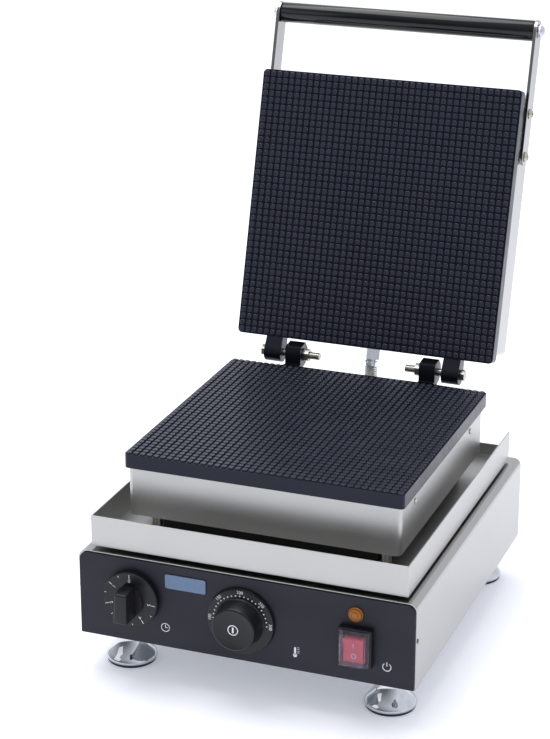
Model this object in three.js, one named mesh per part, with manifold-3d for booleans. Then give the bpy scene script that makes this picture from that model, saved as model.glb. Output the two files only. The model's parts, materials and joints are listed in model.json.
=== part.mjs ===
// Electric waffle cone maker: a steel base with a drip tray, a fixed cast-iron plate on posts, and a
// hinged upper plate with a bar handle. Millimetres, +Z up, +Y to the rear, drawn with the lid open.
// The design frame has z = 0 on the table, x = 0 on the middle plane and y = 0 on the control panel's
// face. The finished group is shifted along Y, so its origin is the middle of its footprint.
import * as THREE from "three";
import { mergeVertices } from "three/addons/utils/BufferGeometryUtils.js";
import Module from "manifold-3d";

const wasm = await Module();
wasm.setup();

// ---- driving dimensions -------------------------------------------------------------------------

const GAP = 0.3; // air left between pieces that touch
const SHEET = 1.2; // thickness of the tray and casing sheet
const BODY = { halfX: 150.5, front: 1.8, back: 325.8, low: 36.5, top: 114.5, bend: 7, wall: 1.5 };
const PANEL = { halfX: 149.4, low: 36.8, top: 113.1, thick: 1.5 };
const TRAY = { halfX: 141, front: 7.4, back: 316.1, low: 116.9, top: 144.4, backTop: 129.5 };
const POST = { x: 104, front: 63, back: 262.6, radius: 4.5, stud: 3 };
const CASING = { halfX: 122.1, front: 43.3, back: 286.3, low: 133.9, top: 177, corner: 5 };
const SHROUD = { halfX: 98.5, front: 60, back: 266 };
const PLATE = { halfX: 125, front: 41.5, back: 291, low: 177.3, top: 191.2, corner: 4 };
const LID = { angle: 106.5, plateLow: 191.7, plateTop: 205.7, casingTop: 249 };
const HINGE = { y: 305, z: 197.7, lowerRadius: 10.6, upperRadius: 9.5, bolt: 3.5, bore: 3.8 };
const LOWER_KNUCKLE = [58, 73.4]; // X stations of the knuckles, mirrored to the other side
const UPPER_KNUCKLE = [78.8, 95.3];
const HANDLE = { y: -14.7, z: 224.7, grip: 9.5, rod: 4, armHalf: 10, armIn: 123.4, armOut: 126.4 };
const ARM_SCREW_Y = [60.8, 100.2];
const FOOT = { x: 118.8, front: 35.6, back: 300, padTop: 2.5, top: 36.2, stud: 4 };
const TIMER = { x: -100.2, z: 78.6, skirt: 25, skirtDepth: 7, gripDepth: 27 };
const THERMOSTAT = { x: -1.1, z: 74.5, skirt: 30, skirtDepth: 4, grip: 20, gripDepth: 20.5 };
const SHAFT = { radius: 3, bore: 3.3, out: 14, in: 20 };
const LAMP = { x: 99.2, z: 98, flange: 6.5, dome: 5.2, body: 5 };
const SWITCH = { x: 100.3, z: 70.1, halfX: 14.5, halfZ: 17.2, depth: 7, pivotY: -1, tilt: 8 };
const CONDUIT = { radius: 6.3, bore: 5, neck: 7.6, hex: 12.5, lidHex: 11.9, baseZ: 74, lidZ: 226.7 };
const GLAND = { x: -125, z: 62, neck: 7.5, hex: 10, bore: 5 };
const WIRE_HOLE = { y: 120, radius: 15 };
const PANEL_SCREW = { y: 5.6, z: 80, radius: 2.2, shank: 1.5 };
const FINE = 24; // sides of a round piece that shows
const COARSE = 10; // sides of a small or hidden round piece

// ---- shape helpers ------------------------------------------------------------------------------

function toSolid(geometry) {
  const bare = geometry.index ? geometry.toNonIndexed() : geometry.clone();
  bare.deleteAttribute("normal");
  bare.deleteAttribute("uv");
  const merged = mergeVertices(bare, 1e-4);
  const vertProperties = new Float32Array(merged.attributes.position.array);
  const triVerts = new Uint32Array(merged.index.array);
  return new wasm.Manifold(new wasm.Mesh({ numProp: 3, vertProperties, triVerts }));
}

function toGeometry(solid) {
  const mesh = solid.getMesh();
  const geometry = new THREE.BufferGeometry();
  geometry.setAttribute("position", new THREE.BufferAttribute(new Float32Array(mesh.vertProperties), 3));
  geometry.setIndex(new THREE.BufferAttribute(new Uint32Array(mesh.triVerts), 1));
  geometry.computeVertexNormals();
  return geometry;
}

// Joins the first list of geometries and cuts the second list out of the result.
function carve(joined, cuts = []) {
  let solid = joined.map(toSolid).reduce((whole, piece) => whole.add(piece));
  for (const cut of cuts) {
    solid = solid.subtract(toSolid(cut));
  }
  return toGeometry(solid);
}

function block([x0, x1], [y0, y1], [z0, z1]) {
  const geometry = new THREE.BoxGeometry(x1 - x0, y1 - y0, z1 - z0);
  return geometry.translate((x0 + x1) / 2, (y0 + y1) / 2, (z0 + z1) / 2);
}

// Extrudes a shape from one station to another. Along "x" the shape is drawn in (y, z), along "y" in
// (x, z) and along "z" in (x, y).
function extrude(axis, shape, from, to, curveSegments = 4) {
  const depth = to - from;
  const geometry = new THREE.ExtrudeGeometry(shape, { depth, bevelEnabled: false, curveSegments });
  if (axis === "x") {
    return geometry.applyMatrix4(new THREE.Matrix4().set(0, 0, 1, from, 1, 0, 0, 0, 0, 1, 0, 0, 0, 0, 0, 1));
  }
  if (axis === "y") {
    return geometry.rotateX(Math.PI / 2).translate(0, to, 0);
  }
  return geometry.translate(0, 0, from);
}

// A round bar along an axis: a and b are its centre in the other two directions, in X, Y, Z order.
function bar(axis, radius, from, to, a, b, sides = COARSE) {
  const geometry = new THREE.CylinderGeometry(radius, radius, to - from, sides);
  const middle = (from + to) / 2;
  if (axis === "x") {
    return geometry.rotateZ(Math.PI / 2).translate(middle, a, b);
  }
  if (axis === "y") {
    return geometry.translate(a, middle, b);
  }
  return geometry.rotateX(Math.PI / 2).translate(a, b, middle);
}

// Turns a closed profile of [radius, station] pairs about the axis that points along +Z, +X or -Y.
function turned(axis, profile, sides = FINE) {
  const geometry = new THREE.LatheGeometry(profile.map(([r, s]) => new THREE.Vector2(r, s)), sides);
  if (axis === "z") {
    return geometry.rotateX(Math.PI / 2);
  }
  if (axis === "x") {
    return geometry.rotateZ(-Math.PI / 2);
  }
  return geometry.rotateX(Math.PI);
}

function roundedRect(x0, x1, y0, y1, radius) {
  const shape = new THREE.Shape();
  shape.absarc(x1 - radius, y0 + radius, radius, -Math.PI / 2, 0, false);
  shape.absarc(x1 - radius, y1 - radius, radius, 0, Math.PI / 2, false);
  shape.absarc(x0 + radius, y1 - radius, radius, Math.PI / 2, Math.PI, false);
  shape.absarc(x0 + radius, y0 + radius, radius, Math.PI, 1.5 * Math.PI, false);
  return shape;
}

// A front outline with square feet and two round shoulders, as folded sheet has.
function archOutline(halfX, low, top, radius) {
  const shape = new THREE.Shape();
  shape.moveTo(-halfX, low);
  shape.lineTo(halfX, low);
  shape.absarc(halfX - radius, top - radius, radius, 0, Math.PI / 2, false);
  shape.absarc(radius - halfX, top - radius, radius, Math.PI / 2, Math.PI, false);
  return shape;
}

function polygon(points) {
  return new THREE.Shape(points.map(([x, y]) => new THREE.Vector2(x, y)));
}

function tubeAlong(points, radius, sides, steps) {
  const shape = new THREE.Shape().absarc(0, 0, radius, 0, 2 * Math.PI, false);
  const extrudePath = new THREE.CatmullRomCurve3(points.map((p) => new THREE.Vector3(...p)));
  return new THREE.ExtrudeGeometry(shape, { steps, extrudePath, curveSegments: sides });
}

function mirrorX(geometry) {
  const flipped = (geometry.index ? geometry.toNonIndexed() : geometry.clone()).scale(-1, 1, 1);
  const position = flipped.getAttribute("position").array;
  for (let i = 0; i < position.length; i += 9) {
    for (let axis = 0; axis < 3; axis += 1) {
      [position[i + 3 + axis], position[i + 6 + axis]] = [position[i + 6 + axis], position[i + 3 + axis]];
    }
  }
  flipped.computeVertexNormals();
  return flipped;
}

function sided(geometry, side) {
  return side === "left" ? mirrorX(geometry) : geometry;
}

function finish(color, metalness, roughness) {
  return () => new THREE.MeshStandardMaterial({ color, metalness, roughness });
}

const brushedSteel = finish(0xc4c2bd, 1, 0.35);
const castIron = finish(0x2c2e38, 0.3, 0.65);
const chrome = finish(0xdadde0, 1, 0.1);
const blackSheet = finish(0x1c1a1a, 0.4, 0.5);
const panelFilm = finish(0x33323d, 0.1, 0.55);
const blackPlastic = finish(0x1d1d22, 0, 0.35);
const gripPlastic = finish(0x1a1a20, 0, 0.15);
const zinc = finish(0xb8b6a8, 1, 0.3);
const rubber = finish(0x14162a, 0, 0.8);
const redPlastic = finish(0xd22f36, 0, 0.3);
const clearPlastic = finish(0xe6dde6, 0, 0.1);
const amberPlastic = finish(0xb06a10, 0, 0.25);
const heaterSheath = finish(0x6f6a60, 1, 0.45);
const ceramicWool = finish(0xe4dfd2, 0, 0.95);
const ceramic = finish(0xe9e4d8, 0, 0.5);
const paleMetal = finish(0xb4b7bb, 1, 0.4);

const root = new THREE.Group();
const base = new THREE.Group();
const lid = new THREE.Group();

function add(group, name, geometry, material) {
  const mesh = new THREE.Mesh(geometry, material());
  mesh.name = name;
  group.add(mesh);
}

// ---- base: housing, tray and lower casing -------------------------------------------------------

const corners = [
  ["front_left", -1, "front"],
  ["front_right", 1, "front"],
  ["rear_left", -1, "back"],
  ["rear_right", 1, "back"],
];

function studHoles(low, high, radius = POST.stud + GAP) {
  return corners.map(([, side, end]) => bar("z", radius, low, high, side * POST.x, POST[end]));
}

function wireHole(low, high) {
  return bar("z", WIRE_HOLE.radius, low, high, 0, WIRE_HOLE.y, 16);
}

// Openings that the housing's front wall and the overlay share: two shafts, the lamp and the switch.
function controlOpenings(from, to) {
  const switchX = [SWITCH.x - 11.5, SWITCH.x + 11.5];
  const switchZ = [SWITCH.z - 15.5, SWITCH.z + 15.5];
  return [
    bar("y", 4.6, from, to, TIMER.x, TIMER.z),
    bar("y", 4.6, from, to, THERMOSTAT.x, THERMOSTAT.z),
    bar("y", LAMP.body + GAP, from, to, LAMP.x, LAMP.z, 16),
    block(switchX, [from, to], switchZ),
  ];
}

function bodyHousing() {
  const { halfX, front, back, low, top, bend, wall } = BODY;
  const outside = extrude("y", archOutline(halfX, low, top, bend), front, back);
  const hollow = archOutline(halfX - wall, low - 1, top - wall, bend - wall);
  const vents = [];
  for (const side of [-1, 1]) {
    for (let row = 0; row < 3; row += 1) {
      const z = 62 + row * 12;
      const x = side * 78;
      vents.push(block([x - 22, x + 22], [back - 5, back + 5], [z, z + 3]));
    }
  }
  const screwHole = PANEL_SCREW.shank + GAP;
  return carve([outside], [
    extrude("y", hollow, front + wall, back - wall),
    ...controlOpenings(front - 2, front + 4),
    ...studHoles(top - 5, top + 5),
    wireHole(top - 5, top + 5),
    bar("y", CONDUIT.neck + GAP, back - 5, back + 5, 0, CONDUIT.baseZ, 16),
    bar("y", GLAND.neck + GAP, back - 5, back + 5, GLAND.x, GLAND.z, 16),
    bar("x", screwHole, -halfX - 2, -halfX + 4, PANEL_SCREW.y, PANEL_SCREW.z),
    bar("x", screwHole, halfX - 4, halfX + 2, PANEL_SCREW.y, PANEL_SCREW.z),
    ...vents,
  ]);
}

function basePlate() {
  const inset = BODY.wall + 0.5;
  const sheet = block(
    [inset - BODY.halfX, BODY.halfX - inset],
    [BODY.front + inset, BODY.back - inset],
    [BODY.low + GAP, BODY.low + GAP + BODY.wall],
  );
  const holes = corners.map(([, side, end]) => bar("z", FOOT.stud + GAP, 30, 45, side * FOOT.x, FOOT[end]));
  const slots = [];
  for (let row = 0; row < 5; row += 1) {
    slots.push(block([-40, 40], [120 + row * 16, 124 + row * 16], [30, 45]));
  }
  return carve([sheet], [...holes, ...slots]);
}

function controlPanel() {
  const { halfX, low, top, thick } = PANEL;
  const sheet = extrude("y", archOutline(halfX, low, top, BODY.bend), 0, thick);
  return carve([sheet], controlOpenings(-2, 4));
}

function namePlate() {
  return extrude("y", roundedRect(-70, -33, 92.5, 105.5, 2), -1, -GAP, 3);
}

function panelScrew() {
  const head = BODY.halfX + GAP;
  const shank = bar("x", PANEL_SCREW.shank, BODY.halfX - 5, head + 0.1, PANEL_SCREW.y, PANEL_SCREW.z);
  return carve([shank, bar("x", PANEL_SCREW.radius, head, head + 1, PANEL_SCREW.y, PANEL_SCREW.z)]);
}

// Folded tray: full-height front and side walls, a lower rear wall, and four bosses that carry it.
function dripTray() {
  const { halfX, front, back, low, top, backTop } = TRAY;
  const bossLow = BODY.top + GAP;
  const bosses = corners.map(([, side, end]) => bar("z", 9, bossLow, low + 0.5, side * POST.x, POST[end]));
  const inner = halfX - SHEET;
  return carve([block([-halfX, halfX], [front, back], [low, top]), ...bosses], [
    block([-inner, inner], [front + SHEET, back - SHEET], [low + SHEET, top + 1]),
    block([-inner, inner], [back - 2 * SHEET, back + 1], [backTop, top + 1]),
    ...studHoles(bossLow - 1, low + 5),
    wireHole(low - 5, low + 5),
  ]);
}

const trayFloor = TRAY.low + SHEET;

function wiringShroud() {
  const { halfX, front, back } = SHROUD;
  const outline = roundedRect(-halfX, halfX, front, back, 3);
  outline.holes.push(roundedRect(SHEET - halfX, halfX - SHEET, front + SHEET, back - SHEET, 2));
  return extrude("z", outline, trayFloor + GAP, CASING.low - GAP, 2);
}

function casingPost(x, y) {
  const profile = [
    [0, 106],
    [POST.stud, 106],
    [POST.stud, trayFloor + GAP],
    [POST.radius, trayFloor + GAP],
    [POST.radius, CASING.low - GAP],
    [POST.stud, CASING.low - GAP],
    [POST.stud, 145],
    [0, 145],
  ];
  return turned("z", profile, COARSE).translate(x, y, 0);
}

// A casing is a tray of folded sheet with rounded corners. The open side faces the plate.
function casing(low, top, floorAtTop, holes) {
  const { halfX, front, back, corner } = CASING;
  const outside = extrude("z", roundedRect(-halfX, halfX, front, back, corner), low, top, 3);
  const innerX = halfX - SHEET;
  const inside = roundedRect(-innerX, innerX, front + SHEET, back - SHEET, corner - SHEET);
  const from = floorAtTop ? low - 1 : low + SHEET;
  const to = floorAtTop ? top - SHEET : top + 1;
  return carve([outside], [extrude("z", inside, from, to, 3), ...holes]);
}

function lowerCasing() {
  const { low, top } = CASING;
  return casing(low, top, false, [...studHoles(low - 2, low + 5), wireHole(low - 2, low + 5)]);
}

function insulation(low, high, holes) {
  const { halfX, front, back } = CASING;
  const edge = SHEET + 4.5;
  const blanket = roundedRect(edge - halfX, halfX - edge, front + edge, back - edge, 4);
  const terminalWindow = block([-32, 32], [96, 144], [low - 1, high + 1]);
  return carve([extrude("z", blanket, low, high, 1)], [terminalWindow, ...holes]);
}

// Tubular element: one loop near the plate's edge, with both cold ends turned away from the plate.
function heatingElement(z, endZ) {
  const loop = [
    [-18, 122, endZ],
    [-18, 112, z],
    [-50, 84, z],
    [-92, 84, z],
    [-96, 166, z],
    [-92, 248, z],
    [0, 252, z],
    [92, 248, z],
    [96, 166, z],
    [92, 84, z],
    [50, 84, z],
    [18, 112, z],
    [18, 122, endZ],
  ];
  return tubeAlong(loop, 4, 3, 40);
}

// Two cast knuckles at the plate's rear edge, each an eye on the hinge axis and a web to the plate.
function plateWithKnuckles(low, top, eyeRadius, stations, web) {
  const { halfX, front, back, corner } = PLATE;
  const slab = extrude("z", roundedRect(-halfX, halfX, front, back, corner), low, top, 3);
  const webShape = polygon(web);
  const joined = [slab];
  const cuts = [];
  for (const side of [-1, 1]) {
    const [from, to] = stations.map((x) => side * x).sort((a, b) => a - b);
    joined.push(extrude("x", webShape, from, to));
    joined.push(bar("x", eyeRadius, from, to, HINGE.y, HINGE.z, 20));
    cuts.push(bar("x", HINGE.bore, from - 5, to + 5, HINGE.y, HINGE.z));
  }
  return carve(joined, cuts);
}

function lowerPlate() {
  const rear = PLATE.back - 2;
  const { y, z, lowerRadius } = HINGE;
  // The knuckle's front and top are flat, with a cut corner that clears the turning lid.
  const face = y - lowerRadius + 0.4;
  const web = [
    [rear, 180],
    [y + 1, z - lowerRadius + 0.4],
    [y + lowerRadius - 1.6, z],
    [y + 4.5, z + 10.9],
    [y - 8.6, z + 9.9],
    [face, z + 7.6],
    [face, PLATE.top - 0.4],
    [rear, PLATE.top - 0.4],
  ];
  return plateWithKnuckles(PLATE.low, PLATE.top, lowerRadius, LOWER_KNUCKLE, web);
}

function upperPlate() {
  const rear = PLATE.back - 2;
  const { y, z, upperRadius } = HINGE;
  const web = [
    [rear, LID.plateLow + 1.6],
    [y - 2, z - upperRadius + 0.4],
    [y, z],
    [y, z + upperRadius - 0.2],
    [rear, LID.plateTop - 0.4],
  ];
  return plateWithKnuckles(LID.plateLow, LID.plateTop, upperRadius, UPPER_KNUCKLE, web);
}

// The bolt's head is outboard of the upper knuckle and its nut is inboard of the lower one.
function hingeBolt() {
  const head = UPPER_KNUCKLE[1] + GAP;
  const hex = bar("x", 5.6, head, head + 4, HINGE.y, HINGE.z, 6);
  const shank = bar("x", HINGE.bolt, 42.5, head + 1, HINGE.y, HINGE.z);
  return carve([shank, hex]);
}

function hingeNut() {
  const to = LOWER_KNUCKLE[0] - GAP;
  const from = to - 5.5;
  const hex = bar("x", 6.4, from, to, HINGE.y, HINGE.z, 6);
  return carve([hex], [bar("x", HINGE.bore, from - 1, to + 1, HINGE.y, HINGE.z)]);
}

function foot(x, y) {
  const profile = [
    [0, FOOT.padTop + GAP],
    [21.8, FOOT.padTop + GAP],
    [22.5, 3.6],
    [22.5, 5.4],
    [17.6, 14],
    [14.4, 20.5],
    [11.4, 31],
    [11.4, FOOT.top],
    [FOOT.stud, FOOT.top],
    [FOOT.stud, 52],
    [0, 52],
  ];
  return turned("z", profile, 20).translate(x, y, 0);
}

function footPad(x, y) {
  const profile = [
    [0, 0],
    [20.5, 0],
    [21.5, 1],
    [21.5, FOOT.padTop],
    [0, FOOT.padTop],
  ];
  return turned("z", profile, 20).translate(x, y, 0);
}

// ---- base: controls and wiring ------------------------------------------------------------------

function mechanismBody({ x, z }, half, depth) {
  const from = BODY.front + BODY.wall + GAP;
  const housing = block([x - half, x + half], [from, from + depth], [z - half, z + half]);
  const bush = bar("y", 4.2, -0.4, from + 1, x, z);
  return carve([housing, bush], [bar("y", SHAFT.bore, -2, SHAFT.in + 1, x, z)]);
}

function knobShaft({ x, z }) {
  return bar("y", SHAFT.radius, -SHAFT.out, SHAFT.in, x, z);
}

function shaftSocket({ x, z }) {
  return bar("y", SHAFT.bore, -SHAFT.out - 1, 1, x, z);
}

// Timer knob: a thick printed skirt, a low round boss and a tapered grip bar across it.
function timerKnob() {
  const { x, z, skirt, skirtDepth, gripDepth } = TIMER;
  const skirtProfile = [
    [0, 1],
    [skirt, 1],
    [skirt, skirtDepth - 0.8],
    [skirt - 0.8, skirtDepth],
    [13.5, skirtDepth],
    [12.5, skirtDepth + 3],
    [0, skirtDepth + 3],
  ];
  const barOutline = polygon([
    [-6.6, -14.2],
    [6.6, -14.2],
    [5.8, 13],
    [2.5, 14.2],
    [-2.5, 14.2],
    [-5.8, 13],
  ]);
  const grip = extrude("y", barOutline, -gripDepth, -skirtDepth);
  const knob = carve([turned("-y", skirtProfile), grip]);
  return carve([knob.translate(x, 0, z)], [shaftSocket(TIMER)]);
}

function thermostatKnob() {
  const { x, z, skirt, skirtDepth, grip, gripDepth } = THERMOSTAT;
  const profile = [
    [0, 1],
    [skirt, 1],
    [skirt, 1.8],
    [skirt - 1, skirtDepth],
    [grip + 1, skirtDepth],
    [grip, gripDepth - 1],
    [grip - 1, gripDepth],
    [0, gripDepth],
  ];
  return carve([turned("-y", profile, 32).translate(x, 0, z)], [shaftSocket(THERMOSTAT)]);
}

// Capillary from the thermostat up through the shroud, ending in a bulb against the lower plate.
function thermostatProbe() {
  const bulbZ = PLATE.low - GAP - 3.1;
  const route = [
    [THERMOSTAT.x, 42, 84],
    [THERMOSTAT.x, 58, 88],
    [0, 100, 92],
    [0, WIRE_HOLE.y, 106],
    [0, WIRE_HOLE.y + 1, 140],
    [0, WIRE_HOLE.y + 2, 160],
    [0, 134, bulbZ],
    [0, 150, bulbZ],
  ];
  return carve([tubeAlong(route, 1.2, 3, 26), bar("y", 3, 149, 226, 0, bulbZ)]);
}

function lampLens() {
  const { x, z, flange, dome } = LAMP;
  const profile = [
    [0, GAP],
    [flange, GAP],
    [flange, 1.4],
    [flange - 0.6, 2],
    [dome, 2],
    [dome - 0.4, 3],
    [dome - 1.6, 3.9],
    [0, 4.3],
  ];
  return turned("-y", profile, 20).translate(x, 0, z);
}

function lampBody() {
  return carve([
    bar("y", LAMP.body, 0, 26, LAMP.x, LAMP.z, 16),
    block([LAMP.x - 3, LAMP.x + 3], [25, 32], [LAMP.z - 1, LAMP.z + 1]),
  ]);
}

function switchBody() {
  const { x, z, halfX, halfZ, depth } = SWITCH;
  const frame = block([x - halfX, x + halfX], [-depth, -GAP], [z - halfZ, z + halfZ]);
  const rear = block([x - 11, x + 11], [-1, 28], [z - 15, z + 15]);
  const well = block([x - 9.6, x + 9.6], [-depth - 1, 4.5], [z - 13.2, z + 13.2]);
  return carve([frame, rear], [well]);
}

// Rocker drawn level, then tipped to its off position, with the lower half pressed in.
function switchRocker() {
  const { x, z, pivotY, tilt } = SWITCH;
  const outline = polygon([
    [-8.8, 11],
    [-8.8, 10.2],
    [-6.8, 0],
    [-8.8, -10.2],
    [-8.8, -11],
    [-0.5, -10.4],
    [3.2, -4],
    [3.2, 4],
    [-0.5, 10.4],
  ].reverse());
  const rocker = extrude("x", outline, -9.1, 9.1);
  return rocker.rotateX(THREE.MathUtils.degToRad(tilt)).translate(x, pivotY, z);
}

function switchBoot() {
  const { x, z, depth } = SWITCH;
  const rim = block([x - 13, x + 13], [-depth - 1.3, -depth - GAP], [z - 15.8, z + 15.8]);
  const dome = block([x - 10.9, x + 10.9], [-depth - 7.5, -depth - 1], [z - 13.4, z + 13.4]);
  const hollow = block([x - 9.9, x + 9.9], [-depth - 6.5, -depth], [z - 12.5, z + 12.5]);
  return carve([rim, dome], [hollow]);
}

function terminalBlock() {
  const low = BODY.low + 2 * GAP + BODY.wall;
  const grooves = [];
  for (let way = 0; way < 3; way += 1) {
    const x = 56 + way * 13;
    grooves.push(block([x, x + 7], [176, 204], [low + 12, low + 30]));
  }
  return carve([block([50, 95], [180, 200], [low, low + 17])], grooves);
}

// A threaded fitting along its own axis: the neck passes the wall, then a collar, a hexagon and a tip.
function threadedFitting(neckFrom, wallOut, hexFrom, hexTo, tipTo, sizes) {
  const { neck, hex, turn, collar, tip, bore } = sizes;
  return carve(
    [
      bar("y", neck, neckFrom, hexFrom + 1, 0, 0, 16),
      bar("y", collar, wallOut, hexFrom + 0.5, 0, 0, 16),
      bar("y", hex, hexFrom, hexTo, 0, 0, 6).rotateY(THREE.MathUtils.degToRad(turn)),
      bar("y", tip, hexTo - 0.5, tipTo, 0, 0, 16),
    ],
    [bar("y", bore, neckFrom - 1, tipTo + 1, 0, 0, 16)],
  );
}

function cableGland() {
  const out = BODY.back + GAP;
  const { neck, hex, bore } = GLAND;
  const sizes = { neck, hex, turn: 0, collar: 8.4, tip: 8.4, bore };
  const fitting = threadedFitting(BODY.back - 10, out, out + 1.5, out + 7, out + 14, sizes);
  return fitting.translate(GLAND.x, 0, GLAND.z);
}

const baseFittingEnd = BODY.back + 16;
const lidFittingEnd = 304.4;

function conduitBaseFitting() {
  const out = BODY.back + GAP;
  const { neck, bore, hex } = CONDUIT;
  const sizes = { neck, hex, turn: 0, collar: 9, tip: 9, bore };
  const fitting = threadedFitting(BODY.back - 10, out, out + 2, out + 12, baseFittingEnd, sizes);
  return fitting.translate(0, 0, CONDUIT.baseZ);
}

// ---- lid, drawn closed and turned open about the hinge axis -------------------------------------

function upperCasing() {
  const holes = [bar("y", CONDUIT.neck + GAP, CASING.back - 4, CASING.back + 4, 0, CONDUIT.lidZ, 16)];
  for (const y of ARM_SCREW_Y) {
    holes.push(bar("x", 2.8, -130, -110, y, HANDLE.z));
    holes.push(bar("x", 2.8, 110, 130, y, HANDLE.z));
  }
  return casing(LID.plateTop + GAP, LID.casingTop, true, holes);
}

// The lid's fitting was tightened a little past square, and ends in a narrow tip.
function conduitLidFitting() {
  const out = CASING.back + GAP;
  const { neck, bore, lidHex } = CONDUIT;
  const sizes = { neck, hex: lidHex, turn: 9.2, collar: 9, tip: 6.6, bore };
  const fitting = threadedFitting(CASING.back - 10, out, 292, lidFittingEnd - 1.8, lidFittingEnd, sizes);
  return fitting.translate(0, 0, CONDUIT.lidZ);
}

// Flat bar with round ends. Two low bosses stand it off the casing.
function handleArm() {
  const { y, z, armHalf, armIn, armOut, rod } = HANDLE;
  const rear = ARM_SCREW_Y[1] - 2;
  const outline = new THREE.Shape();
  outline.absarc(rear, z, armHalf, -Math.PI / 2, Math.PI / 2, false);
  outline.absarc(y, z, armHalf, Math.PI / 2, 1.5 * Math.PI, false);
  const bosses = ARM_SCREW_Y.map((at) => bar("x", 6, CASING.halfX + GAP, armIn + 0.5, at, z, 12));
  const holes = ARM_SCREW_Y.map((at) => bar("x", 2.8, armIn - 4, armOut + 4, at, z));
  holes.push(bar("x", rod + GAP, armIn - 4, armOut + 4, y, z, 16));
  return carve([extrude("x", outline, armIn, armOut, 7), ...bosses], holes);
}

function armScrew(y) {
  const head = HANDLE.armOut + GAP;
  const profile = [
    [0, 117],
    [2.5, 117],
    [2.5, head],
    [4.8, head],
    [4.8, head + 0.8],
    [3.6, head + 2.1],
    [1.6, head + 2.7],
    [0, head + 2.7],
  ];
  return turned("x", profile, COARSE).translate(0, y, HANDLE.z);
}

function handleGrip() {
  const { y, z, grip, rod, armIn } = HANDLE;
  const half = armIn - GAP;
  const profile = [
    [rod + GAP, -half],
    [grip, -half],
    [grip, half],
    [rod + GAP, half],
    [rod + GAP, -half],
  ];
  return turned("x", profile).translate(0, y, z);
}

function handleRod() {
  const half = HANDLE.armOut + 2.4;
  return bar("x", HANDLE.rod, -half, half, HANDLE.y, HANDLE.z, 16);
}

function capNut() {
  const { y, z, rod, armOut } = HANDLE;
  const from = armOut + GAP;
  const bore = rod + GAP;
  const profile = [
    [bore, from],
    [6.6, from],
    [6.6, from + 1.4],
    [5.6, from + 3.4],
    [3.2, from + 4.8],
    [0, from + 5.3],
    [0, from + 3],
    [bore, from + 3],
    [bore, from],
  ];
  return turned("x", profile, 20).translate(0, y, z);
}

// ---- assembly -----------------------------------------------------------------------------------

add(base, "body_housing", bodyHousing(), brushedSteel);
add(base, "base_plate", basePlate(), paleMetal);
add(base, "control_panel", controlPanel(), panelFilm);
add(base, "blank_name_plate", namePlate(), paleMetal);
add(base, "drip_tray", dripTray(), brushedSteel);
add(base, "wiring_shroud", wiringShroud(), blackSheet);
add(base, "lower_casing", lowerCasing(), brushedSteel);
add(base, "lower_insulation", insulation(CASING.low + 2, 166, studHoles(130, 170, 6)), ceramicWool);
add(base, "lower_heating_element", heatingElement(PLATE.low - 5.8, 158), heaterSheath);
add(base, "lower_plate", lowerPlate(), castIron);
add(base, "timer_body", mechanismBody(TIMER, 22, 30), paleMetal);
add(base, "thermostat_body", mechanismBody(THERMOSTAT, 17, 36), paleMetal);
add(base, "thermostat_probe", thermostatProbe(), paleMetal);
add(base, "pilot_lamp_lens", lampLens(), amberPlastic);
add(base, "pilot_lamp_body", lampBody(), blackPlastic);
add(base, "switch_body", switchBody(), blackPlastic);
add(base, "switch_splash_cover", switchBoot(), clearPlastic);
add(base, "terminal_block", terminalBlock(), ceramic);
add(base, "cable_gland", cableGland(), blackPlastic);
add(base, "conduit_base_fitting", conduitBaseFitting(), zinc);
add(base, "timer_shaft", knobShaft(TIMER), zinc);
add(base, "timer_knob", timerKnob(), blackPlastic);
add(base, "thermostat_shaft", knobShaft(THERMOSTAT), zinc);
add(base, "thermostat_knob", thermostatKnob(), blackPlastic);
add(base, "switch_rocker", switchRocker(), redPlastic);

for (const [place, side, end] of corners) {
  add(base, `casing_post_${place}`, casingPost(side * POST.x, POST[end]), zinc);
  add(base, `foot_${place}`, foot(side * FOOT.x, FOOT[end]), chrome);
  add(base, `foot_pad_${place}`, footPad(side * FOOT.x, FOOT[end]), rubber);
}

add(lid, "upper_plate", upperPlate(), castIron);
add(lid, "upper_casing", upperCasing(), brushedSteel);
add(lid, "upper_heating_element", heatingElement(LID.plateTop + 5.8, 226), heaterSheath);
add(lid, "upper_insulation", insulation(217, 246, [block([-14, 14], [266, 290], [210, 250])]), ceramicWool);
add(lid, "conduit_lid_fitting", conduitLidFitting(), zinc);
add(lid, "handle_grip", handleGrip(), gripPlastic);
add(lid, "handle_rod", handleRod(), zinc);

for (const side of ["left", "right"]) {
  add(base, `panel_screw_${side}`, sided(panelScrew(), side), zinc);
  add(base, `hinge_bolt_${side}`, sided(hingeBolt(), side), zinc);
  add(base, `hinge_nut_${side}`, sided(hingeNut(), side), zinc);
  add(lid, `handle_arm_${side}`, sided(handleArm(), side), brushedSteel);
  add(lid, `handle_cap_nut_${side}`, sided(capNut(), side), chrome);
  add(lid, `arm_screw_front_${side}`, sided(armScrew(ARM_SCREW_Y[0]), side), zinc);
  add(lid, `arm_screw_rear_${side}`, sided(armScrew(ARM_SCREW_Y[1]), side), zinc);
}

// Children of the lid are drawn closed in the design frame, so they hang from the pivot by its offset.
const pivot = new THREE.Group();
pivot.position.set(0, HINGE.y, HINGE.z);
pivot.rotation.x = -THREE.MathUtils.degToRad(LID.angle);
lid.position.set(0, -HINGE.y, -HINGE.z);
pivot.add(lid);
root.add(base, pivot);
root.updateMatrixWorld(true);

// Where a point of the closed lid's middle plane lies with the lid open.
function openPoint(y, z) {
  return lid.localToWorld(new THREE.Vector3(0, y, z)).toArray();
}

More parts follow.
